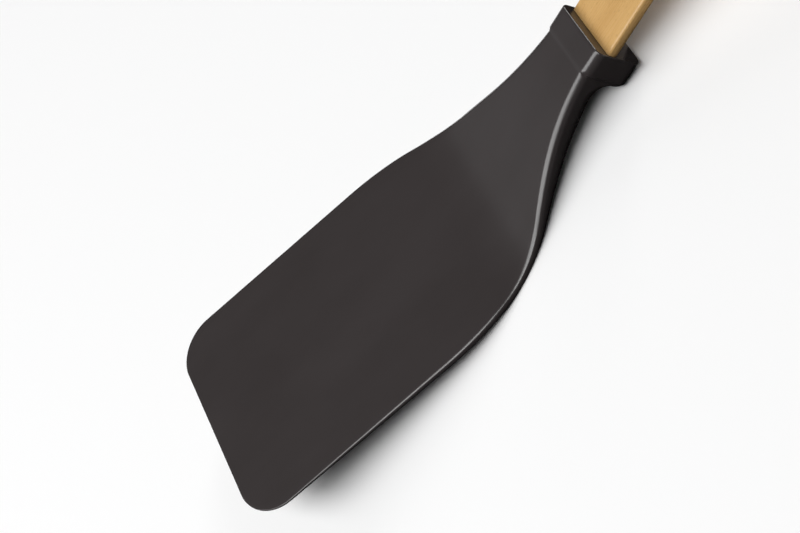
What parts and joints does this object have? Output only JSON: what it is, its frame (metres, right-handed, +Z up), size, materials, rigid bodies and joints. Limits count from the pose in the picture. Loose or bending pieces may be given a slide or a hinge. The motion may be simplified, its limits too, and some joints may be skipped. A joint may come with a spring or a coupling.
{
  "type": "angled spatula",
  "caption": "Kitchen turner: flat nylon blade with rounded corners on a flared, bent neck, a collar with a rest foot behind it, and a straight wooden slat handle with a hanging hole.",
  "frame": {"origin": "on the surface that the tool lies on, under the middle of its box", "axes": "+X from the handle to the blade, +Z up on the food side, so +Y is across the blade; the tool lies on its rest foot and the heel of its bend"},
  "size_m": [0.334, 0.0794, 0.0479],
  "materials": {
    "nylon": "satin moulded nylon, dark charcoal, very fine grain",
    "wood": "smooth oiled pale wood with fine short flecks along the grain",
    "adhesive": "cured clear amber glue, hidden in the socket"
  },
  "bodies": {
    "root": {"spatula_head": "nylon", "handle": "wood", "socket_adhesive": "adhesive"}
  },
  "joints": []
}
